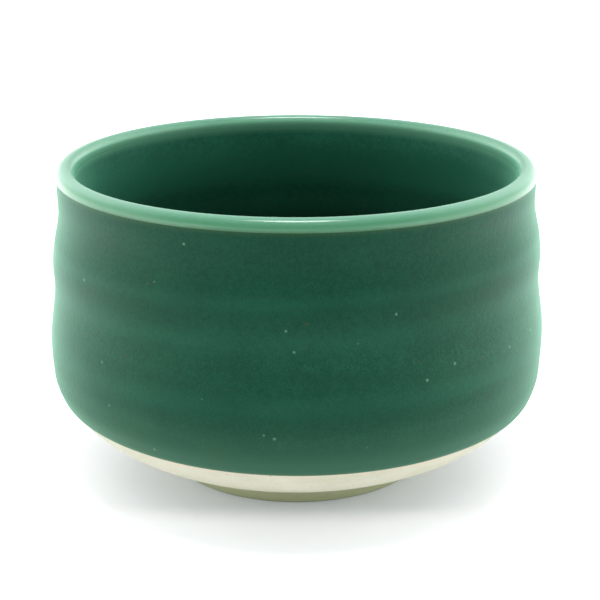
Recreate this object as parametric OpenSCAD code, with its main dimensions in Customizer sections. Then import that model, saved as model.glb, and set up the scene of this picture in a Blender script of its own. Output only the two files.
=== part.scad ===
// Tea bowl thrown on a wheel: clay wall, applied foot ring and three coats of glaze.
// Millimetres, +Z up, origin on the ground under the middle of the foot.

/* [Overall] */
// Height from the ground to the top of the clay rim
bowl_h = 79.1; // [64:0.1:100]
// Outer radius of the clay at the mouth
mouth_r = 60; // [48:0.1:74]
// Outer radius of the clay at the belly, its widest ridge
belly_r = 63.5; // [52:0.1:78]
// Outer radius of the foot ring on the ground
foot_r = 35; // [26:0.1:43]

/* [Wall] */
// Thickness of the wall at the rim
rim_t = 3.6; // [2.8:0.1:5]
// Thickness of the wall at the haunch, where it turns in
haunch_t = 5.2; // [4:0.1:7]
// Thickness of the floor in the middle
floor_t = 6.2; // [4:0.1:9]
// Height over which the rim is rounded
rim_round = 2; // [1:0.1:3]
// Squareness of the rim, where 2 is a half ellipse
rim_square = 2.5; // [2:0.1:4]

/* [Throwing ridges] */
// Height of the belly ridge
belly_z = 36; // [33:0.1:42]
// Outer radius of the clay at the shoulder ridge
shoulder_r = 61.95; // [50:0.05:76]
// Distance from the top of the rim down to its ridge
mouth_drop = 3.6; // [3:0.1:6]
// Depth of each groove under the ridge above it
groove_depth = 0.2; // [0:0.05:1]
// Place of a groove between two ridges, from the lower one
groove_place = 0.76; // [0.5:0.01:0.8]

/* [Haunch and underside] */
// Height at which the wall begins to turn in
haunch_z = 27.7; // [26:0.1:31]
// Step in from the belly ridge to the haunch
haunch_inset = 0.23; // [0:0.01:1]
// Reach of the haunch bend, downwards
haunch_pull = 8.2; // [5:0.1:12]
// Reach of the underside bend, outwards from the foot
underside_pull = 19; // [10:0.5:22]
// Slope of the underside where it meets the foot
underside_slope = 15; // [8:1:25]

/* [Tea pool] */
// Radius of the shallow pool in the floor
pool_r = 21; // [14:0.5:28]
// Depth of the pool
pool_depth = 1.2; // [0.4:0.1:2]
// Reach of the inner haunch bend, downwards
inner_haunch_pull = 12; // [8:0.5:14]
// Reach of the floor bend, outwards from the pool
inner_floor_pull = 23; // [14:0.5:26]

/* [Foot] */
// Height of the foot ring
foot_h = 5.5; // [4.5:0.1:8]
// Width of the foot ring on the ground
foot_w = 6; // [4:0.1:9]
// Outward flare of the foot ring's outer wall
foot_flare = 1.6; // [0.5:0.1:3]
// Inward lean of the foot ring's inner wall
foot_lean = 1.2; // [0.5:0.1:3]
// Rounding of the foot ring's two lower edges
foot_edge = 0.7; // [0.3:0.1:1.2]
// Rise of the recess inside the foot
recess_rise = 0.9; // [0.3:0.1:2]
// Height of the small nub in the recess
nub_h = 1; // [0.2:0.1:1.2]
// Radius of the small nub in the recess
nub_r = 6; // [3:0.5:10]

/* [Glaze] */
// Thickness of the inner and outer coats
glaze_t = 0.5; // [0.3:0.05:0.8]
// Thickness of the coat where it breaks over the rim
rim_glaze_t = 0.4; // [0.2:0.05:0.8]
// Height of the lower edge of the outer coat
glaze_line_z = 20.3; // [16:0.1:26]
// Height of the rounded lower edge of the outer coat
glaze_bead = 0.6; // [0.3:0.05:1.2]
// Reach of the rim coat down the outside
band_out = 2.4; // [2.1:0.1:5]
// Reach of the rim coat down the inside
band_in = 2.8; // [2.1:0.1:5]
// Distance over which the full coats thin towards the rim coat
band_fade = 4; // [2:0.5:8]

/* [Hidden] */
$fn = 96;
// Points to each span of a curve, to the rim and to the glaze bead
span_steps = 5;
bend_steps = 14;
rim_steps = 16;
bead_steps = 4;
// Closest that two neighbouring points of an outline may lie
point_gap = 0.05;

// Heights of the ridges, evenly spaced from the belly to the mouth
ridge_pitch = (bowl_h - mouth_drop - belly_z) / 2;
haunch_r = belly_r - haunch_inset;
inner_haunch_r = haunch_r - haunch_t;
rim_base_z = bowl_h - rim_round;
floor_z = foot_h + floor_t;
pool_edge_z = floor_z + pool_depth;
foot_inner_r = foot_r - foot_w;
recess_r = foot_inner_r - foot_lean;
foot_top_r = foot_r + foot_flare;

// Thickness of the wall at a height, even from the haunch to the rim
function wall_t(z) = let (u = (z - haunch_z) / (rim_base_z - haunch_z)) haunch_t + (rim_t - haunch_t) * u;

// Smooth line through stations of [radius, height]
function slope_at(p, i) =
    let (n = len(p) - 1)
    i == 0 ? (p[1] - p[0]) / norm(p[1] - p[0]) :
    i == n ? (p[n] - p[n - 1]) / norm(p[n] - p[n - 1]) :
    let (a = norm(p[i] - p[i - 1]))
    let (b = norm(p[i + 1] - p[i]))
    ((p[i + 1] - p[i]) * a / b + (p[i] - p[i - 1]) * b / a) / (a + b);
function span_point(p, i, t) =
    let (d = norm(p[i + 1] - p[i]))
    (2 * t^3 - 3 * t^2 + 1) * p[i] + (t^3 - 2 * t^2 + t) * d * slope_at(p, i)
    + (3 * t^2 - 2 * t^3) * p[i + 1] + (t^3 - t^2) * d * slope_at(p, i + 1);
function smooth_line(p) = [
    for (i = [0:len(p) - 2])
        for (k = [0:span_steps - 1]) span_point(p, i, k / span_steps),
    p[len(p) - 1]
];

// Bend from a to d with handles b and c
function bend(a, b, c, d) = [
    for (k = [0:bend_steps])
        let (t = k / bend_steps)
        (1 - t)^3 * a + 3 * (1 - t)^2 * t * b + 3 * (1 - t) * t^2 * c + t^3 * d
];

// Line without its first point, and a line turned end to end
function tail(p) = [for (i = [1:len(p) - 1]) p[i]];
function turned(p) = [for (i = [len(p) - 1:-1:0]) p[i]];

// Radius at a height on a line whose heights all rise
function radius_at(line, z) = lookup(z, [for (p = line) [p[1], p[0]]]);

// Stretch of a rising line between two heights
function stretch(line, low, high) = [
    [radius_at(line, low), low],
    for (p = line) if (p[1] > low + point_gap && p[1] < high - point_gap) p,
    [radius_at(line, high), high]
];

// Outside of the clay, upwards from the foot joint to the base of the rim's rounding
underside = bend(
    [foot_top_r, foot_h],
    [foot_top_r + underside_pull * cos(underside_slope), foot_h + underside_pull * sin(underside_slope)],
    [haunch_r, haunch_z - haunch_pull],
    [haunch_r, haunch_z]
);
wall = smooth_line([
    [haunch_r, haunch_z],
    [belly_r, belly_z],
    [shoulder_r - groove_depth, belly_z + groove_place * ridge_pitch],
    [shoulder_r, belly_z + ridge_pitch],
    [mouth_r - groove_depth, belly_z + (1 + groove_place) * ridge_pitch],
    [mouth_r, belly_z + 2 * ridge_pitch],
    [mouth_r, rim_base_z]
]);
outside = concat(underside, tail(wall));

// Inside of the clay, upwards from the pool's edge to the base of the rim's rounding
inner_wall = [for (p = wall) [p[0] - wall_t(p[1]), p[1]]];
inner_bend = bend(
    [pool_r, pool_edge_z],
    [pool_r + inner_floor_pull, pool_edge_z],
    [inner_haunch_r, haunch_z - inner_haunch_pull],
    [inner_haunch_r, haunch_z]
);
inside = concat(inner_bend, tail(inner_wall));

// Rounded rim from outside to inside, a superellipse on the wall's thickness
function rim_power(v) = sign(v) * pow(abs(v), 2 / rim_square);
rim = [
    for (k = [0:rim_steps])
        let (a = 180 * k / rim_steps)
        [mouth_r - rim_t / 2 + rim_t / 2 * rim_power(cos(a)), rim_base_z + rim_round * rim_power(sin(a))]
];

// Pool in the floor, from its edge to the middle
pool = [
    for (k = [0:bend_steps])
        let (t = 1 - k / bend_steps)
        [pool_r * t, floor_z + pool_depth * (3 * t^2 - 2 * t^3)]
];

// Runs of the clay that each coat covers
bead = [
    for (k = [0:bead_steps])
        let (z = glaze_line_z + glaze_bead * (1 - cos(90 * k / bead_steps)))
        [radius_at(outside, z), z]
];
outer_run = concat(bead, tail(stretch(outside, glaze_line_z + glaze_bead, bowl_h - band_out)));
rim_run = concat(
    stretch(outside, bowl_h - band_out, rim_base_z),
    tail(rim),
    tail(turned(stretch(inside, bowl_h - band_in, rim_base_z)))
);
inner_run = concat(
    turned([for (p = inside) if (p[1] < bowl_h - band_in - point_gap) p]),
    tail(pool)
);
band_start = len(outer_run) - 1;
band_end = band_start + len(rim_run) - 1;
glazed_line = concat(outer_run, tail(rim_run), inner_run);
line_end = len(glazed_line) - 1;

// Direction out of the clay at a point of the glazed line, upwards on the axis
function way_out(i) =
    i == line_end ? [0, 1] :
    let (d = glazed_line[i + 1] - glazed_line[max(i - 1, 0)])
    [d[1], -d[0]] / norm(d);

// Thickness of the coat at a point: rounded at its lower edge, thinner towards the rim
function edge_share(i) = i < bead_steps ? sin(90 * i / bead_steps) : 1;
function full_share(i) =
    let (reach = i < (band_start + band_end) / 2 ? band_out : band_in)
    let (u = min(max((bowl_h - reach - glazed_line[i][1]) / band_fade, 0), 1))
    3 * u^2 - 2 * u^3;
function coat_t(i) = edge_share(i) * (rim_glaze_t + (glaze_t - rim_glaze_t) * full_share(i));
function coat_point(i) = glazed_line[i] + coat_t(i) * way_out(i);

// One coat of glaze over the points first to last
module coat(first, last) {
    // A coat that starts at nothing doesn't repeat its first point
    start = coat_t(first) > 0 ? first : first + 1;
    rotate_extrude() polygon(concat(
        [for (i = [first:last]) glazed_line[i]],
        [for (i = [last:-1:start]) coat_point(i)]
    ));
}

// Height of the recess inside the foot: a low dome with a nub hanging in its middle
function recess_z(r) =
    foot_h + recess_rise * (1 - (r / recess_r)^2) - (r < nub_r ? nub_h * (1 + cos(180 * r / nub_r)) / 2 : 0);

module clay_body() {
    recess = [for (k = [0:bend_steps]) let (r = recess_r * k / bend_steps) [r, recess_z(r)]];
    bare = [for (p = underside) if (p[1] < glaze_line_z - point_gap) p];
    color("#dcd8c6") rotate_extrude() polygon(concat(recess, bare, glazed_line));
}

module foot_ring() {
    quarter = [for (k = [0:bead_steps]) 90 * k / bead_steps];
    outer_edge = [for (a = quarter) [foot_r - foot_edge * (1 - sin(a)), foot_edge * (1 - cos(a))]];
    inner_edge = [for (a = quarter) [foot_inner_r + foot_edge * (1 - cos(a)), foot_edge * (1 - sin(a))]];
    // The outer wall leaves the ground upright and flares into the underside
    flare = [
        for (k = [1:bead_steps])
            let (t = k / bead_steps)
            [foot_r + foot_flare * t^2, foot_edge + (foot_h - foot_edge) * t]
    ];
    color("#cfcab2") rotate_extrude() polygon(concat(outer_edge, flare, [[recess_r, foot_h]], inner_edge));
}

module outer_glaze() {
    color("#24604a") coat(0, band_start);
}

module rim_glaze() {
    color("#a9cdb8") coat(band_start, band_end);
}

module inner_glaze() {
    color("#1b4b38") coat(band_end, line_end);
}

clay_body();
foot_ring();
outer_glaze();
inner_glaze();
rim_glaze();
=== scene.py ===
import math

import bmesh
import bpy
import numpy as np
from mathutils import Euler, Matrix, Vector, geometry, noise


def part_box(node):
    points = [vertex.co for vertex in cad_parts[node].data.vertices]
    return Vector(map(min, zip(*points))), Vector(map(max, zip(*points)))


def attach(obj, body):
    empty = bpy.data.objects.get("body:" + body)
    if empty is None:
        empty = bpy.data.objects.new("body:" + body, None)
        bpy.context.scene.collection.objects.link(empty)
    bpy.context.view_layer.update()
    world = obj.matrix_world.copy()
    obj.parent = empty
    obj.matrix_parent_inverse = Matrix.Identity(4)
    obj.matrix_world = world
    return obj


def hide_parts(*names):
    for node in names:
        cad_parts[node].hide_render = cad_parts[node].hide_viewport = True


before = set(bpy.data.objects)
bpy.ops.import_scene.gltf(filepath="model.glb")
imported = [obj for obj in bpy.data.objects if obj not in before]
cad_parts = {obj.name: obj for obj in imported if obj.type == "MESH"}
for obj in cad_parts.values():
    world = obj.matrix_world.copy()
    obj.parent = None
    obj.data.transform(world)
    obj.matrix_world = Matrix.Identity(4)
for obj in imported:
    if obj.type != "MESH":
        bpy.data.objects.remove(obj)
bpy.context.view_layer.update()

mm = 0.001
stepsAround = 240
mergeDistance = 0.0001 * mm  # vertices closer than this become one
onAxis = 0.01               # a point nearer the axis than this, in millimetres, is on it

# Sizes shared by the pieces, in millimetres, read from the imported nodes

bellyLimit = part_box("outer_glaze")[1].x / mm
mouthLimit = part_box("rim_glaze")[1].x / mm
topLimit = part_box("rim_glaze")[1].z / mm
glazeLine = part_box("outer_glaze")[0].z / mm
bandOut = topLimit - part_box("outer_glaze")[1].z / mm
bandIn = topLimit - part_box("inner_glaze")[1].z / mm
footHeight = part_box("foot_ring")[1].z / mm
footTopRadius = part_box("foot_ring")[1].x / mm

bowl = {
    "glaze": 0.5,           # thickness of the full coats
    "rimGlaze": 0.4,        # thickness of the coat over the rim
    "clearance": 0.12,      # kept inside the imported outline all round
    "sharpAngle": 0.7,      # edges bent by more than this, in radians, are shaded sharp
    "rimThickness": 3.6,
    "rimRound": 2.0,
    "rimSquare": 2.5,
    "haunchThickness": 5.2,
    "floorThickness": 6.2,
    "bellyHeight": 36.0,
    "shoulderInset": 1.55,  # shoulder ridge, in from the belly ridge
    "mouthDrop": 3.6,
    "grooveDepth": 0.2,
    "groovePlace": 0.76,
    "haunchHeight": 27.7,
    "haunchInset": 0.23,
    "haunchPull": 8.2,
    "undersidePull": 19.0,
    "undersideSlope": 15.0,
    "poolRadius": 21.0,
    "poolDepth": 1.2,
    "innerHaunchPull": 12.0,
    "innerFloorPull": 23.0,
    "spacing": 1.1,         # between rings of faces
    "beadHeight": 0.7,      # the rounded lower edge of the outer coat
    "beadSteps": 6,
    "rimSteps": 28,
    "poolSteps": 26,
    "seamGap": 0.1,         # rings closer than this to a seam are left out
}

clayTop = topLimit - bowl["rimGlaze"] - bowl["clearance"]
mouthRadius = mouthLimit - bowl["rimGlaze"] - bowl["clearance"]
bellyRadius = bellyLimit - bowl["glaze"] - bowl["clearance"]
shoulderRadius = bellyRadius - bowl["shoulderInset"]
haunchRadius = bellyRadius - bowl["haunchInset"]
rimBase = clayTop - bowl["rimRound"]
floorHeight = footHeight + bowl["floorThickness"]
poolEdge = floorHeight + bowl["poolDepth"]


def smoothStep(low, high, value):
    t = min(max((value - low) / (high - low), 0), 1)
    return t * t * (3 - 2 * t)


def bend(a, b, c, d, spacing=bowl["spacing"]):
    # a curve from a to d, pulled towards b and c
    count = max(3, round((Vector(d) - Vector(a)).length * 1.15 / spacing))
    corners = [Vector((p[0], 0, p[1])) for p in (a, b, c, d)]
    return [(p.x, p.z) for p in geometry.interpolate_bezier(*corners, count + 1)]


def throughPoints(stations):
    # a smooth curve through [radius, height] stations
    points = [Vector(p) for p in stations]
    gaps = [(b - a).length for a, b in zip(points, points[1:])]
    slopes = [(points[1] - points[0]) / gaps[0]]
    for k in range(1, len(points) - 1):
        before, after = gaps[k - 1], gaps[k]
        ahead = (points[k + 1] - points[k]) * before / after
        behind = (points[k] - points[k - 1]) * after / before
        slopes.append((ahead + behind) / (before + after))
    slopes.append((points[-1] - points[-2]) / gaps[-1])
    line = [tuple(points[0])]
    for k, gap in enumerate(gaps):
        handleOut = points[k] + slopes[k] * gap / 3
        handleIn = points[k + 1] - slopes[k + 1] * gap / 3
        line += bend(points[k], handleOut, handleIn, points[k + 1])[1:]
    return line


# Outside of the clay from the foot joint up to the rim's rounding
ridgePitch = (clayTop - bowl["mouthDrop"] - bowl["bellyHeight"]) / 2
slope = math.radians(bowl["undersideSlope"])
slopeRun = bowl["undersidePull"] * math.cos(slope)
slopeRise = bowl["undersidePull"] * math.sin(slope)
undersideCurve = (
    (footTopRadius, footHeight),
    (footTopRadius + slopeRun, footHeight + slopeRise),
    (haunchRadius, bowl["haunchHeight"] - bowl["haunchPull"]),
    (haunchRadius, bowl["haunchHeight"]),
)
underside = bend(*undersideCurve)
wall = throughPoints([
    (haunchRadius, bowl["haunchHeight"]),
    (bellyRadius, bowl["bellyHeight"]),
    (shoulderRadius - bowl["grooveDepth"], bowl["bellyHeight"] + bowl["groovePlace"] * ridgePitch),
    (shoulderRadius, bowl["bellyHeight"] + ridgePitch),
    (mouthRadius - bowl["grooveDepth"], bowl["bellyHeight"] + (1 + bowl["groovePlace"]) * ridgePitch),
    (mouthRadius, bowl["bellyHeight"] + 2 * ridgePitch),
    (mouthRadius, rimBase),
])
outside = underside + wall[1:]
outsideHeights = [p[1] for p in outside]
outsideRadii = [p[0] for p in outside]


def outsideRadius(height):
    return float(np.interp(height, outsideHeights, outsideRadii))


def wallThickness(height):
    rise = (height - bowl["haunchHeight"]) / (rimBase - bowl["haunchHeight"])
    return bowl["haunchThickness"] + (bowl["rimThickness"] - bowl["haunchThickness"]) * rise


# Inside of the clay from the pool's edge up to the rim's rounding
innerWall = [(p[0] - wallThickness(p[1]), p[1]) for p in wall]
inside = bend(
    (bowl["poolRadius"], poolEdge),
    (bowl["poolRadius"] + bowl["innerFloorPull"], poolEdge),
    (innerWall[0][0], bowl["haunchHeight"] - bowl["innerHaunchPull"]),
    innerWall[0],
) + innerWall[1:]


def rimPoint(angle):
    # a point of the rounded rim, from 0 outside to 180 degrees inside
    half = bowl["rimThickness"] / 2
    power = 2 / bowl["rimSquare"]
    across = math.copysign(abs(math.cos(angle)) ** power, math.cos(angle))
    return mouthRadius - half + half * across, rimBase + bowl["rimRound"] * math.sin(angle) ** power


rim = [rimPoint(math.pi * k / bowl["rimSteps"]) for k in range(1, bowl["rimSteps"])]
pool = []
for k in range(1, bowl["poolSteps"] + 1):
    t = 1 - k / bowl["poolSteps"]
    pool.append((bowl["poolRadius"] * t, floorHeight + bowl["poolDepth"] * (3 * t * t - 2 * t ** 3)))

# The glazed part of the clay, from the glaze line over the rim to the middle of the floor
beadTop = glazeLine + bowl["beadHeight"]
bead = []
for k in range(bowl["beadSteps"] + 1):
    height = glazeLine + bowl["beadHeight"] * (1 - math.cos(math.pi / 2 * k / bowl["beadSteps"]))
    bead.append((outsideRadius(height), height))
outerEnd = clayTop + bowl["rimGlaze"] - bandOut
innerEnd = clayTop + bowl["rimGlaze"] - bandIn
seamGap = bowl["seamGap"]
outerRun = bead + [p for p in outside if beadTop + seamGap < p[1] < outerEnd - seamGap]
outerRun.append((outsideRadius(outerEnd), outerEnd))
rimRun = [p for p in outside if outerEnd + seamGap < p[1]] + rim
rimRun += [p for p in reversed(inside) if innerEnd + seamGap < p[1]]
innerRun = [(float(np.interp(innerEnd, [p[1] for p in inside], [p[0] for p in inside])), innerEnd)]
innerRun += [p for p in reversed(inside) if p[1] < innerEnd - seamGap] + pool
glazedLine = outerRun + rimRun + innerRun
bandStart = len(outerRun) - 1
bandEnd = bandStart + len(rimRun) + 1
lineEnd = len(glazedLine) - 1

coatShape = {
    "roll": 0.12,       # how much thicker the coat gathers above its lower edge
    "rollHeight": 1.3,
    "rollWidth": 0.8,
    "fade": 4.0,        # over this height the full coats thin towards the rim
}


def coatThickness(k):
    height = glazedLine[k][1]
    share = smoothStep(0, coatShape["fade"], innerEnd - height)
    thickness = bowl["rimGlaze"] + (bowl["glaze"] - bowl["rimGlaze"]) * share
    if k < bowl["beadSteps"]:
        thickness *= math.sin(math.pi / 2 * k / bowl["beadSteps"])
    if k < bandStart:
        gather = (height - glazeLine - coatShape["rollHeight"]) / coatShape["rollWidth"]
        thickness *= 1 + coatShape["roll"] / bowl["glaze"] * math.exp(-gather * gather)
    return thickness


def coatPoint(k):
    # the point of the glazed surface over point k of the clay
    if k == lineEnd:
        return 0, glazedLine[k][1] + coatThickness(k)
    before, after = Vector(glazedLine[max(k - 1, 0)]), Vector(glazedLine[k + 1])
    along = (after - before).normalized() * coatThickness(k)
    return glazedLine[k][0] + along.y, glazedLine[k][1] - along.x


# The hand of the potter: how far the turned shape strays, in millimetres

hand = {
    # pairs are the heights or radii over which something comes in or goes out
    "ridgeLean": 1.2,       # ridges ride up towards +X by this much
    "leanStarts": (24, 34),
    "leanEnds": (68, 76),
    # each faint ring's height, width and depth
    "rings": [(62.3, 1.9, 0.13), (46.5, 2.6, 0.06), (67.4, 2.2, -0.05), (31.0, 2.2, 0.05)],
    "ringWander": 1.3,
    "oval": 0.05,
    "ovalTurn": 0.7,
    "swayFrom": 22,
    "wallRadii": (34, 46),  # only the wall sways, not the floor
    "wallHeights": (18, 27),
    "glazeRise": 0.27,
    "glazeLean": -0.27,     # the glaze line sinks towards +X
    "glazeWave": 0.12,
    "waveWander": 2.2,
    "lineSpread": 4,        # how far above and below the line the clay follows it
    "lineRadii": (50, 57),
    "rimDip": 0.06,         # three shallow dips round the rim
    "dipTurn": 1.9,
    "rimTilt": 0.14,        # the rim is this much lower in front and higher behind
    "tiltMiddle": 0.4,
    "tiltFrom": 62,
    "spiralPitch": 5.6,     # throwing spiral on the floor inside
    "spiralDepth": 0.11,
    "spiralStarts": (3, 9),
    "spiralEnds": (36, 47),
    "spiralHeights": (10.6, 11.4),
}


def strayed(point):
    # where a point of the turned shape ends up, the same for every layer
    radius = math.hypot(point.x, point.y) / mm
    height = point.z / mm
    if radius < onAxis:
        return point
    side, back = point.x / mm / radius, point.y / mm / radius
    turn = math.atan2(back, side)

    leaning = smoothStep(*hand["leanStarts"], height) * (1 - smoothStep(*hand["leanEnds"], height))
    lean = hand["ridgeLean"] * side * leaning
    sway = outsideRadius(height - lean) - outsideRadius(height) if height > hand["swayFrom"] else 0
    wander = hand["ringWander"]
    for ringHeight, width, depth in hand["rings"]:
        up = (height - ringHeight - lean) / width
        sway += depth * math.exp(-up * up) * (0.8 + noise.noise((side * wander, back * wander, ringHeight)))
    sway -= hand["oval"] * (1 + math.cos(2 * turn + hand["ovalTurn"]))
    wallShare = smoothStep(*hand["wallRadii"], radius) * smoothStep(*hand["wallHeights"], height)
    newRadius = radius + sway * wallShare

    nearLine = math.exp(-((height - glazeLine) / hand["lineSpread"]) ** 2)
    lineShare = nearLine * smoothStep(*hand["lineRadii"], radius)
    wander = hand["waveWander"]
    wave = hand["glazeWave"] * noise.noise((side * wander, back * wander, 3))
    newHeight = height + lineShare * (hand["glazeRise"] + hand["glazeLean"] * side + wave)
    drop = hand["rimDip"] * (1 + math.cos(3 * turn + hand["dipTurn"]))
    drop += hand["rimTilt"] * (hand["tiltMiddle"] - back)
    newHeight -= drop * smoothStep(hand["tiltFrom"], topLimit, height)
    floorShare = smoothStep(*hand["spiralHeights"], height) * smoothStep(*hand["spiralStarts"], radius)
    floorShare *= 1 - smoothStep(*hand["spiralEnds"], radius)
    newHeight += floorShare * hand["spiralDepth"] * math.cos(math.tau * radius / hand["spiralPitch"] - turn)
    return Vector((side * newRadius * mm, back * newRadius * mm, newHeight * mm))


def spun(name, outline, closed):
    # turns an outline of (radius, height) round the axis into a closed mesh
    bm = bmesh.new()
    corners = [bm.verts.new((radius * mm, 0, height * mm)) for radius, height in outline]
    edges = [bm.edges.new(pair) for pair in zip(corners, corners[1:])]
    if closed:
        edges.append(bm.edges.new((corners[-1], corners[0])))
    bmesh.ops.spin(bm, geom=corners + edges, cent=(0, 0, 0), axis=(0, 0, 1), angle=math.tau,
                   steps=stepsAround, use_merge=True)
    bmesh.ops.remove_doubles(bm, verts=bm.verts, dist=mergeDistance)
    bmesh.ops.recalc_face_normals(bm, faces=bm.faces)
    return bm


def finished(bm, name, material, replaced):
    for face in bm.faces:
        face.smooth = True
    for edge in bm.edges:
        edge.smooth = edge.calc_face_angle(0) < bowl["sharpAngle"]
    mesh = bpy.data.meshes.new(name)
    bm.to_mesh(mesh)
    bm.free()
    mesh.materials.append(material)
    piece = bpy.data.objects.new(name, mesh)
    bpy.context.scene.collection.objects.link(piece)
    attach(piece, "root")
    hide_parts(replaced)
    print(name, len(mesh.polygons), "faces")


def shapedBy(bm, move):
    # keeps each vertex's height before it strays, for the materials, then moves it
    height = bm.verts.layers.float.new("thrownHeight")
    for vert in bm.verts:
        vert[height] = vert.co.z / mm
        vert.co = move(vert.co)


# Materials

def colour(red, green, blue):
    # an sRGB colour from 0 to 255, as the linear values that shaders take
    return tuple(((v / 255 + 0.055) / 1.055) ** 2.4 if v > 10 else v / 255 / 12.92
                 for v in (red, green, blue)) + (1.0,)


class Wire:
    # a socket whose value can be used in ordinary sums
    def __init__(self, recipe, socket):
        self.recipe = recipe
        self.socket = socket

    def maths(self, operation, left, right):
        return self.recipe.add("ShaderNodeMath", {"operation": operation}, {0: left, 1: right})

    def __add__(self, other):
        return self.maths("ADD", self, other)

    def __radd__(self, other):
        return self.maths("ADD", other, self)

    def __sub__(self, other):
        return self.maths("SUBTRACT", self, other)

    def __rsub__(self, other):
        return self.maths("SUBTRACT", other, self)

    def __mul__(self, other):
        return self.maths("MULTIPLY", self, other)

    def __rmul__(self, other):
        return self.maths("MULTIPLY", other, self)

    def __pow__(self, other):
        return self.maths("POWER", self, other)

    def __rpow__(self, other):
        return self.maths("POWER", other, self)


class Recipe:
    # nodes added to one tree, for a material or for the studio's light
    def __init__(self, tree):
        self.tree = tree

    def add(self, kind, settings, inputs, output=0):
        node = self.tree.nodes.new(kind)
        for setting, value in settings.items():
            setattr(node, setting, value)
        for socket, value in inputs.items():
            self.feed(node.inputs[socket], value)
        return Wire(self, node.outputs[output])

    def feed(self, socket, value):
        if isinstance(value, Wire):
            self.tree.links.new(value.socket, socket)
        else:
            socket.default_value = value

    def ramp(self, value, low, high):
        # 0 below low, 1 above high, smooth between
        return self.add("ShaderNodeMapRange", {"interpolation_type": "SMOOTHSTEP"}, {
            "Value": value, "From Min": low, "From Max": high})

    def absolute(self, value):
        return self.add("ShaderNodeMath", {"operation": "ABSOLUTE"}, {0: value})

    def split(self, vector):
        # the three parts of a vector
        first = self.add("ShaderNodeSeparateXYZ", {}, {0: vector})
        return [Wire(self, output) for output in first.socket.node.outputs]

    def fromAxis(self, place):
        # distance from the bowl's axis
        across, behind = self.split(place)[:2]
        return (across * across + behind * behind) ** 0.5


class Finish(Recipe):
    # one material, made round a Principled shader
    def __init__(self, name, **fixed):
        self.material = bpy.data.materials.new(name)
        self.material.use_nodes = True
        super().__init__(self.material.node_tree)
        self.tree.nodes.clear()
        self.shader = self.tree.nodes.new("ShaderNodeBsdfPrincipled")
        self.output = self.tree.nodes.new("ShaderNodeOutputMaterial")
        self.tree.links.new(self.shader.outputs["BSDF"], self.output.inputs["Surface"])
        for socket, value in fixed.items():
            self.shader.inputs[socket.replace("_", " ")].default_value = value

    def surface(self, **inputs):
        for socket, value in inputs.items():
            self.feed(self.shader.inputs[socket.replace("_", " ")], value)
        return self.material

    def place(self):
        return self.add("ShaderNodeTexCoord", {}, {}, "Object")

    def attribute(self, name):
        return self.add("ShaderNodeAttribute", {"attribute_name": name}, {}, "Fac")

    def stretched(self, place, scale):
        return self.add("ShaderNodeMapping", {}, {"Vector": place, "Scale": scale})

    def grain(self, place, size, detail=2.0, roughness=0.5):
        # noise from 0 to 1 with features about size millimetres across
        return self.add("ShaderNodeTexNoise", {}, {
            "Vector": place, "Scale": 1 / (size * mm), "Detail": detail, "Roughness": roughness})

    def spots(self, place, apart, size):
        # 1 inside scattered spots, where apart is the size of the cells that hold one each
        distance = self.add("ShaderNodeTexVoronoi", {"feature": "F1"}, {
            "Vector": place, "Scale": 1 / (apart * mm)})
        return 1 - self.ramp(distance, 0.25 * size / apart, 0.6 * size / apart)

    def ring(self, level, middle, width):
        # 1 at the middle, fading to 0 over width millimetres above and below
        return 1 - self.ramp(self.absolute(level - middle), 0, width)

    def mix(self, share, first, second):
        return self.add("ShaderNodeMix", {"data_type": "RGBA"}, {0: share, 6: first, 7: second}, 2)

    def bump(self, height, depth, under=None):
        inputs = {"Height": height, "Distance": depth * mm, "Strength": 1.0}
        if under:
            inputs["Normal"] = under
        return self.add("ShaderNodeBump", {}, inputs)


glazeSurface = {
    "IOR": 1.5,
    "Specular_IOR_Level": 0.12,
    "Sheen_Weight": 0.5,    # the satin bloom of fine crystals, seen at a slant
    "Sheen_Roughness": 0.4,
    "Sheen_Tint": (0.42, 1.0, 0.7, 1.0),
}

greenGlaze = {
    "deep": colour(14, 67, 49),
    "pale": colour(25, 88, 65),
    "dark": colour(10, 58, 42),
    "ridge": colour(28, 95, 72),    # painted light across the wall's slopes, partly thinner glaze over the ridges
    "hem": colour(52, 98, 77),      # paler towards its lower edge
    "olive": colour(58, 92, 56),
    "speck": colour(120, 160, 130),
    "iron": colour(70, 62, 40),
    "roughness": 0.5,
    "cloudSize": 16,
    "mottleSize": 1.4,
    "speckleSize": 0.42,
    "streakSize": 2.6,
    "bandSize": 7.0,
    "ridges": [(61.0, 2.4, 0.7), (52.0, 5.0, 0.8), (37.5, 4.5, 1.0)],  # height, width, strength
    # painted shade: the wall darkens up through these heights
    "shadedUpperWall": (44.0, 60.0),
    "hemHeight": 16,            # heights above the glaze line
    "thinnedHeights": (4, 15),
    "edgeHeights": (0.15, 0.8),
    "rimLineDepths": (1.4, 0.1),
    "speckApart": 6.0,
    "speckSize": 0.8,
    "ironApart": 9.0,
    "ironSize": 1.1,
    "mottleDepth": 0.05,
    "speckleDepth": 0.02,
}


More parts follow.
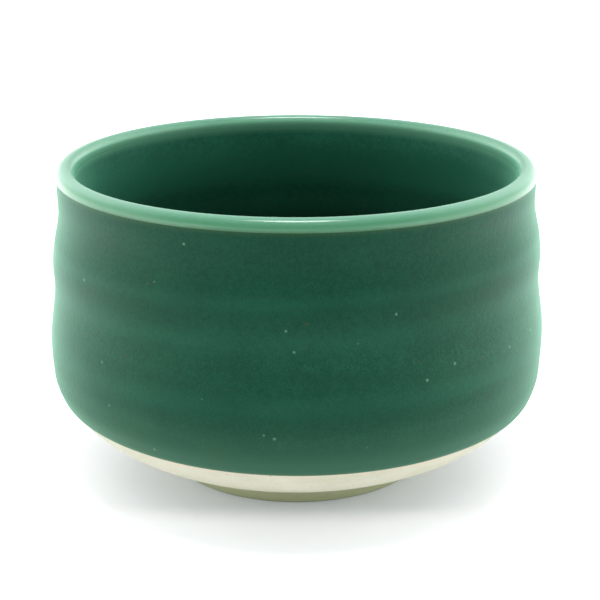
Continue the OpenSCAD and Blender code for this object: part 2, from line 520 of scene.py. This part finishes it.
def outerGlazeFinish():
    look = greenGlaze
    finish = Finish("outerGreenGlaze", **glazeSurface)
    place = finish.place()
    height = finish.attribute("thrownHeight")
    cloud = finish.grain(place, look["cloudSize"], 3)
    mottle = finish.grain(place, look["mottleSize"], 3, 0.6)
    speckle = finish.grain(place, look["speckleSize"], 2, 0.6)
    streak = finish.grain(finish.stretched(place, (0.12, 0.12, 1.0)), look["streakSize"], 2)
    band = finish.grain(finish.stretched(place, (0.06, 0.06, 1.0)), look["bandSize"], 2)
    body = finish.mix(finish.ramp(speckle * 0.5 + mottle * 0.3 + cloud * 0.2, 0.38, 0.62),
                      look["deep"], look["pale"])
    body = finish.mix(finish.ramp(streak, 0.5, 0.75) * 0.2, body, look["dark"])
    # painted shade: the upper wall is darkened
    body = finish.mix(finish.ramp(height, *look["shadedUpperWall"]) * 0.4, body, look["dark"])
    body = finish.mix(finish.ramp(band, 0.42, 0.62) * 0.4, body, look["deep"])

    # painted light: paler bands where light falls across the ridges and grooves, partly thinner glaze over
    # the ridges; they lean as the wall does
    across = finish.split(place)[0]
    level = height - across * (hand["ridgeLean"] / bellyRadius / mm)
    ridges = sum(finish.ring(level, middle, width) * strength for middle, width, strength in look["ridges"])
    body = finish.mix(ridges * (0.1 + cloud * 0.5), body, look["ridge"])

    # paler lower down, with olive patches
    body = finish.mix(1 - finish.ramp(height, glazeLine, glazeLine + look["hemHeight"]), body, look["hem"])
    thinnedLow, thinnedHigh = look["thinnedHeights"]
    thinned = 1 - finish.ramp(height, glazeLine + thinnedLow, glazeLine + thinnedHigh)
    body = finish.mix(finish.ramp(cloud, 0.5, 0.68) * thinned * 0.3, body, look["olive"])

    # pale specks and brown spots of iron
    specks = finish.spots(place, look["speckApart"], look["speckSize"])
    body = finish.mix(specks * 0.5, body, look["speck"])
    iron = finish.spots(finish.stretched(place, (1.0, 1.0, 1.3)), look["ironApart"], look["ironSize"])
    body = finish.mix(iron * 0.5, body, look["iron"])

    # olive along both edges of the coat
    edgeLow, edgeHigh = look["edgeHeights"]
    edge = 1 - finish.ramp(height, glazeLine + edgeLow, glazeLine + edgeHigh)
    body = finish.mix(edge * 0.85, body, look["olive"])
    bandEdge = topLimit - bandOut
    lineLow, lineHigh = look["rimLineDepths"]
    rimLine = finish.ramp(height, bandEdge - lineLow, bandEdge - lineHigh)
    body = finish.mix(rimLine * 0.4, body, look["olive"])

    relief = finish.bump(speckle, look["speckleDepth"], finish.bump(mottle, look["mottleDepth"]))
    roughness = look["roughness"] + (mottle - 0.5) * 0.16
    return finish.surface(Base_Color=body, Roughness=roughness, Normal=relief)


# painted light: the same glaze as outside, given lighter colours inside
innerGreen = {
    "deep": colour(29, 92, 70),
    "pale": colour(40, 111, 87),
    "dark": colour(12, 48, 35),
    # painted light: the colour of the paler band inside
    "ridge": colour(48, 122, 96),
    "roughness": 0.4,
    "cloudSize": 18,
    "mottleSize": 1.6,
    "speckleSize": 0.45,
    "darkDepths": (33, 11),     # painted shade: below the top, where it deepens
    "ridgeHeight": 65.0,
    "ridgeWidth": 8.0,
    "mottleDepth": 0.04,
    "speckleDepth": 0.015,
}


def innerGlazeFinish():
    look = innerGreen
    finish = Finish("innerGreenGlaze", **glazeSurface)
    place = finish.place()
    height = finish.attribute("thrownHeight")
    cloud = finish.grain(place, look["cloudSize"], 3)
    mottle = finish.grain(place, look["mottleSize"], 3, 0.6)
    speckle = finish.grain(place, look["speckleSize"], 2, 0.6)
    body = finish.mix(finish.ramp(speckle * 0.4 + mottle * 0.3 + cloud * 0.3, 0.38, 0.62),
                      look["deep"], look["pale"])
    darkLow, darkHigh = look["darkDepths"]
    # painted shade: darker deeper in the bowl
    paintedDepthShade = 1 - finish.ramp(height, topLimit - darkLow, topLimit - darkHigh)
    body = finish.mix(paintedDepthShade * 0.8, body, look["dark"])
    # painted light: a paler band across the inside
    body = finish.mix(finish.ring(height, look["ridgeHeight"], look["ridgeWidth"]) * 0.8, body, look["ridge"])
    # paler just under the lip: thinner glaze, with painted light
    thinAndLit = finish.ramp(height, topLimit - rimGlaze["fadeEnd"], topLimit - rimGlaze["fadeStart"])
    body = finish.mix(thinAndLit, body, rimGlaze["shallow"])
    relief = finish.bump(speckle, look["speckleDepth"], finish.bump(mottle, look["mottleDepth"]))
    roughness = look["roughness"] + thinAndLit * (rimGlaze["roughness"] - look["roughness"])
    return finish.surface(Base_Color=body, Roughness=roughness + (mottle - 0.5) * 0.1, Normal=relief)


rimGlaze = {
    "green": colour(80, 142, 106),
    "pale": colour(96, 150, 124),
    "shallow": colour(120, 186, 152),   # inside the lip: paler where the glaze thins, with painted light on the lip's inner rounding
    "olive": colour(62, 96, 62),
    "fadeStart": 1.2,       # depth below the top, inside, over which it deepens
    "fadeEnd": 5.5,
    "gloss": 0.4,
    "bloom": 0.3,
    "roughness": 0.17,
    "outsideFrom": (1.6, 0.8),  # in from the mouth's radius
    "paleDepths": (1.3, 0.4),
    "blotSize": 3.2,
    "blotDepth": 0.05,
    "speckleSize": 0.5,
}


def rimGlazeFinish():
    look = rimGlaze
    surface = dict(glazeSurface, Specular_IOR_Level=look["gloss"], Sheen_Weight=look["bloom"])
    finish = Finish("paleRimGlaze", **surface)
    place = finish.place()
    height = finish.attribute("thrownHeight")
    outsideLow, outsideHigh = look["outsideFrom"]
    radius = finish.fromAxis(place)
    outward = finish.ramp(radius, (mouthRadius - outsideLow) * mm, (mouthRadius - outsideHigh) * mm)
    blot = finish.grain(place, look["blotSize"], 3, 0.6)
    speckle = finish.grain(place, look["speckleSize"], 2, 0.6)
    level = height + (blot - 0.5) * 0.5
    # paler just under the lip: thinner glaze, with painted light
    thinAndLit = finish.ramp(height, topLimit - look["fadeEnd"], topLimit - look["fadeStart"])
    inward = finish.mix(thinAndLit, innerGreen["deep"], look["shallow"])
    body = finish.mix(outward, inward, look["green"])
    paleLow, paleHigh = look["paleDepths"]
    body = finish.mix(finish.ramp(level, topLimit - paleLow, topLimit - paleHigh), body, look["pale"])
    bandEdge = topLimit - bandOut
    low = outward * (1 - finish.ramp(level, bandEdge - 0.1, bandEdge + 0.5))
    body = finish.mix(low * 0.6, body, look["olive"])
    body = finish.mix(finish.ramp(speckle, 0.5, 0.8) * 0.25, body, look["green"])
    relief = finish.bump(blot, look["blotDepth"])
    return finish.surface(Base_Color=body, Roughness=look["roughness"] + (blot - 0.5) * 0.1, Normal=relief)


bareClay = {
    "cream": colour(221, 221, 204),
    "sand": colour(211, 211, 189),
    "blush": colour(230, 213, 194),
    "fleck": colour(150, 136, 108),
    # painted shade and green reflected light on the foot
    "shadeTint": colour(202, 213, 166),
    "roughness": 0.78,
    "cloudSize": 9,
    "gritSize": 0.55,
    "fleckSize": 0.9,
    "lineSize": 0.7,
    "blushDepths": (1.5, 0.3),  # below the glaze line
    "reliefDepth": 0.03,
}


def clayFinish(name, blushTop, shadeTintBelow):
    # shadeTintBelow is the height below which painted shade and reflected green light tint the clay olive, in
    # millimetres
    look = bareClay
    finish = Finish(name, IOR=1.45)
    place = finish.place()
    height = finish.attribute("thrownHeight")
    cloud = finish.grain(place, look["cloudSize"], 3)
    grit = finish.grain(place, look["gritSize"], 3, 0.65)
    fleck = finish.grain(place, look["fleckSize"], 2)
    line = finish.grain(finish.stretched(place, (0.08, 0.08, 1.0)), look["lineSize"], 2)
    body = finish.mix(finish.ramp(cloud * 0.5 + grit * 0.3 + line * 0.2, 0.36, 0.64),
                      look["sand"], look["cream"])
    blushLow, blushHigh = look["blushDepths"]
    blush = finish.ramp(height + (grit - 0.5) * 0.8, blushTop - blushLow, blushTop - blushHigh)
    body = finish.mix(blush * finish.ramp(cloud, 0.25, 0.5) * 0.75, body, look["blush"])
    # painted shade: olive towards the bottom, for the foot's shade and the green light it takes from the
    # glaze
    shadeTint = 1 - finish.ramp(height + (cloud - 0.5), 0, shadeTintBelow)
    body = finish.mix(shadeTint * 0.8, body, look["shadeTint"])
    body = finish.mix(finish.ramp(fleck, 0.7, 0.76) * 0.5, body, look["fleck"])
    relief = finish.bump(grit, look["reliefDepth"], finish.bump(line, look["reliefDepth"]))
    return finish.surface(Base_Color=body, Roughness=look["roughness"] + (grit - 0.5) * 0.2, Normal=relief)


# Pieces

turning = {
    "spacing": 0.45,        # finer rings of faces where the clay is bare
    "linePitch": 1.35,
    "lineDepth": 0.035,
    "recessRise": 0.9,
    "nubHeight": 1.0,
    "nubRadius": 6.0,
    "recessPitch": 2.4,
    "recessDepth": 0.09,
    "margin": 0.2,          # lines keep this far from the foot ring
}

footShape = {
    "width": 6.0,
    "flare": 1.6,
    "lean": 1.2,
    "edge": 0.7,
    "lineDepth": 0.03,
    "linePitch": 1.1,
    "unevenness": 0.05,
    "edgeSteps": 6,
    "sideSteps": 14,
    "innerSteps": 12,
    "standSteps": 9,
}
footRadius = footTopRadius - footShape["flare"]
footInnerRadius = footRadius - footShape["width"]
recessRadius = footInnerRadius - footShape["lean"]


def turned(point):
    # fine lines left by the trimming tool on the bare clay
    radius = math.hypot(point.x, point.y) / mm
    height = point.z / mm
    turn = math.atan2(point.y, point.x)
    moved = strayed(point)
    if height > glazeLine - 0.05 or radius < onAxis:
        return moved
    inRecess = radius < recessRadius - turning["margin"] and height < footHeight + turning["recessRise"] + 0.5
    onUnderside = radius > footTopRadius + turning["margin"] and radius > outsideRadius(height) - 0.5
    if inRecess:
        share = smoothStep(1, 5, radius) * (1 - smoothStep(recessRadius - 3, recessRadius - 0.4, radius))
        line = math.cos(math.tau * radius / turning["recessPitch"] + turn)
        moved.z += share * turning["recessDepth"] * line * mm
    elif onUnderside:
        along = math.hypot(radius - footTopRadius, height - footHeight)
        share = smoothStep(0.4, 2, along) * (1 - smoothStep(glazeLine - 1.6, glazeLine - 0.4, height))
        wobble = noise.noise((math.cos(turn) * 1.7, math.sin(turn) * 1.7, along * 0.35))
        line = math.cos(math.tau * along / turning["linePitch"] + turn)
        depth = turning["lineDepth"] * (line + wobble)
        moved.z += share * depth * mm
    return moved


def makeClayBody():
    recessCount = round(recessRadius / turning["spacing"])
    recess = []
    for k in range(recessCount + 1):
        radius = recessRadius * k / recessCount
        height = footHeight + turning["recessRise"] * (1 - (radius / recessRadius) ** 2)
        if radius < turning["nubRadius"]:
            height -= turning["nubHeight"] * (1 + math.cos(math.pi * radius / turning["nubRadius"])) / 2
        recess.append((radius, height))
    bare = [p for p in bend(*undersideCurve, turning["spacing"]) if p[1] < glazeLine - seamGap]
    bm = spun("clayBody", recess + bare + glazedLine, False)
    shapedBy(bm, turned)
    clay = clayFinish("bareClay", glazeLine, 1.0)
    finished(bm, "clayBody", clay, "clay_body")


def makeFootRing():
    edge = footShape["edge"]
    arc = [math.pi / 2 * k / footShape["edgeSteps"] for k in range(footShape["edgeSteps"] + 1)]
    outline = [(footRadius - edge * (1 - math.sin(a)), edge * (1 - math.cos(a))) for a in arc]
    for k in range(1, footShape["sideSteps"] + 1):
        t = k / footShape["sideSteps"]
        outline.append((footRadius + footShape["flare"] * t * t, edge + (footHeight - edge) * t))
    steps = footShape["innerSteps"]
    for k in range(1, steps + 1):
        outline.append((footTopRadius + (recessRadius - footTopRadius) * k / steps, footHeight))
    for k in range(1, steps + 1):
        t = k / steps
        radius = recessRadius + (footInnerRadius - recessRadius) * t
        outline.append((radius, footHeight + (edge - footHeight) * t))
    outline += [(footInnerRadius + edge * (1 - math.cos(a)), edge * (1 - math.sin(a))) for a in arc[1:]]
    flatWidth = footShape["width"] - 2 * edge
    for k in range(1, footShape["standSteps"]):
        outline.append((footInnerRadius + edge + flatWidth * k / footShape["standSteps"], 0))

    def trimmed(point):
        radius = math.hypot(point.x, point.y) / mm
        height = point.z / mm
        side, back = point.x / mm / radius, point.y / mm / radius
        share = smoothStep(0.5, 1.2, height)
        share *= 1 - smoothStep(footHeight - 0.9, footHeight - 0.1, height)
        wobble = noise.noise((side * 3.1, back * 3.1, height * 0.5))
        line = math.cos(math.tau * height / footShape["linePitch"] + math.atan2(back, side))
        offset = -share * (footShape["lineDepth"] * (1 + line) + footShape["unevenness"] * (1 + wobble))
        if radius < footRadius - footShape["width"] / 2:
            offset = -offset
        return Vector((side * (radius + offset) * mm, back * (radius + offset) * mm, point.z))

    bm = spun("footRing", outline, True)
    shapedBy(bm, trimmed)
    clay = clayFinish("footClay", 2 * glazeLine, 2 * footHeight)
    finished(bm, "footRing", clay, "foot_ring")


def makeCoat(name, first, last, material, replaced):
    # a closed shell of glaze over points first to last of the clay
    under = glazedLine[first:last + 1]
    start = max(first, 1)   # the outer coat thins to nothing at its lower edge
    over = [coatPoint(k) for k in range(last, start - 1, -1)]
    bm = spun(name, over + under, last != lineEnd)
    shapedBy(bm, strayed)
    finished(bm, name, material, replaced)


makeClayBody()
makeFootRing()
makeCoat("outerGlaze", 0, bandStart, outerGlazeFinish(), "outer_glaze")
makeCoat("rimGlaze", bandStart, bandEnd, rimGlazeFinish(), "rim_glaze")
makeCoat("innerGlaze", bandEnd, lineEnd, innerGlazeFinish(), "inner_glaze")

# Floor, light and camera

studio = {
    "everywhere": 0.21,
    "sideLow": 1.8,         # broad lights left and right, slightly behind
    "sideHigh": 2.05,
    "top": 0.3,
    "overhead": 20.0,       # a small bright one straight above
    "frontHigh": 0.47,
    "backHigh": 0.54,
    "backLow": 0.3,         # low light behind, for the lip
    "backdrop": 1.0,
    "sideTurn": (0.9, 0.44),    # how far the side lights reach round behind
}

tableTop = {
    "radius": 6.0,
    "white": (0.78, 0.81, 0.86, 1.0),
    "shade": (0.13, 0.14, 0.165, 1.0),      # lift close under the bowl
    "lift": (0.39, 0.4, 0.41, 1.0),         # and around it
    "far": (1.0, 1.0, 1.0, 1.0),
    "bounceNear": 0.75,     # how much light the floor returns to the bowl
    "bounceAround": 0.5,
    "glowNear": 0.23,
    "glowAround": 0.35,
    "glowSide": 1.65,
    # distances from the axis in metres, over which each thing comes in or goes out
    "frontShade": (0.035, 0.047),
    "shadeEnds": (0.045, 0.07),
    "farStarts": (0.15, 0.5),
    "sideStarts": (0.05, 0.16),
    "aroundStarts": (0.07, 0.1),
    "nearStarts": (0.035, 0.05),
}


def makeFloor():
    bm = bmesh.new()
    bmesh.ops.create_circle(bm, cap_ends=True, segments=96, radius=tableTop["radius"])
    mesh = bpy.data.meshes.new("studioFloor")
    bm.to_mesh(mesh)
    bm.free()

    # as the camera sees it
    finish = Finish("paleFloor", IOR=1.4, Emission_Strength=1.0)
    place = finish.place()
    across, behind = finish.split(place)[:2]
    radius = finish.fromAxis(place)
    shaded = 1 - finish.ramp(0 - behind, *tableTop["frontShade"])
    shaded = shaded * (1 - finish.ramp(radius, *tableTop["shadeEnds"]))
    lift = finish.mix(shaded, tableTop["lift"], tableTop["shade"])
    lift = finish.mix(finish.ramp(radius, *tableTop["farStarts"]), lift, tableTop["far"])
    finish.surface(Base_Color=tableTop["white"], Roughness=0.1, Emission_Color=lift)

    # as it lights the bowl
    aside, back = studio["sideTurn"]
    side = finish.ramp(finish.absolute(across) * aside + behind * back, *tableTop["sideStarts"])
    around = finish.ramp(radius, *tableTop["aroundStarts"])
    near = finish.ramp(radius, *tableTop["nearStarts"]) * (1 - around)
    share = tableTop["bounceNear"] + around * (tableTop["bounceAround"] - tableTop["bounceNear"])
    grey = finish.mix(share, (0.0, 0.0, 0.0, 1.0), (1.0, 1.0, 1.0, 1.0))
    bounce = finish.add("ShaderNodeBsdfDiffuse", {}, {"Color": grey})
    strength = near * tableTop["glowNear"] + around * (tableTop["glowAround"] + side * tableTop["glowSide"])
    glow = finish.add("ShaderNodeEmission", {}, {"Strength": strength})
    bounce = finish.add("ShaderNodeAddShader", {}, {0: bounce, 1: glow})

    seen = finish.add("ShaderNodeLightPath", {}, {}, "Is Camera Ray")
    whole = finish.add("ShaderNodeMixShader", {}, {
        0: seen, 1: bounce, 2: Wire(finish, finish.shader.outputs["BSDF"])})
    finish.feed(finish.output.inputs["Surface"], whole)
    mesh.materials.append(finish.material)
    floor = bpy.data.objects.new("studioFloor", mesh)
    bpy.context.scene.collection.objects.link(floor)
    print("floor ready")


def makeLight():
    world = bpy.data.worlds.new("studioWorld")
    world.use_nodes = True
    recipe = Recipe(world.node_tree)
    background = world.node_tree.nodes["Background"]
    across, behind, high = recipe.split(recipe.add("ShaderNodeTexCoord", {}, {}, "Generated"))
    aside, back = studio["sideTurn"]
    side = recipe.ramp(recipe.absolute(across) * aside + behind * back, 0.3, 0.95)
    raised = recipe.ramp(high, 0.3, 0.6)
    upper = recipe.ramp(high, 0.35, 0.7)
    level = side * (studio["sideLow"] + raised * (studio["sideHigh"] - studio["sideLow"]))
    level = level + studio["everywhere"]
    level = level + recipe.ramp(high, 0.75, 0.95) * studio["top"]
    level = level + recipe.ramp(high, 0.968, 0.995) * studio["overhead"]
    level = level + recipe.ramp(behind, 0.4, 0.9) * (1 - recipe.ramp(high, 0.3, 0.55)) * studio["backLow"]
    level = level + recipe.ramp(0 - behind, 0.1, 0.6) * upper * studio["frontHigh"]
    level = level + recipe.ramp(behind, 0.1, 0.6) * upper * studio["backHigh"]
    seen = recipe.add("ShaderNodeLightPath", {}, {}, "Is Camera Ray")
    strength = level * (1 - seen) + seen * studio["backdrop"]
    recipe.feed(background.inputs["Color"], (1.0, 1.0, 1.0, 1.0))
    recipe.feed(background.inputs["Strength"], strength)
    bpy.context.scene.world = world
    bpy.context.scene.view_settings.view_transform = "Standard"
    print("light ready")


cameraSetup = {
    "place": (0.00087, -0.3210, 0.1501),
    "pitchDown": 18.74,
    "roll": -0.08,
    "lens": 77.34,
    "sensor": 36.0,
}


def makeCamera():
    view = bpy.data.cameras.new("tableCamera")
    view.lens = cameraSetup["lens"]
    view.sensor_width = cameraSetup["sensor"]
    camera = bpy.data.objects.new("tableCamera", view)
    camera.location = cameraSetup["place"]
    tilt = Euler((math.radians(90 - cameraSetup["pitchDown"]), 0, 0)).to_matrix()
    roll = Euler((0, 0, math.radians(cameraSetup["roll"]))).to_matrix()
    camera.rotation_euler = (tilt @ roll).to_euler()
    bpy.context.scene.collection.objects.link(camera)
    bpy.context.scene.camera = camera


makeFloor()
makeLight()
makeCamera()
print("camera ready")
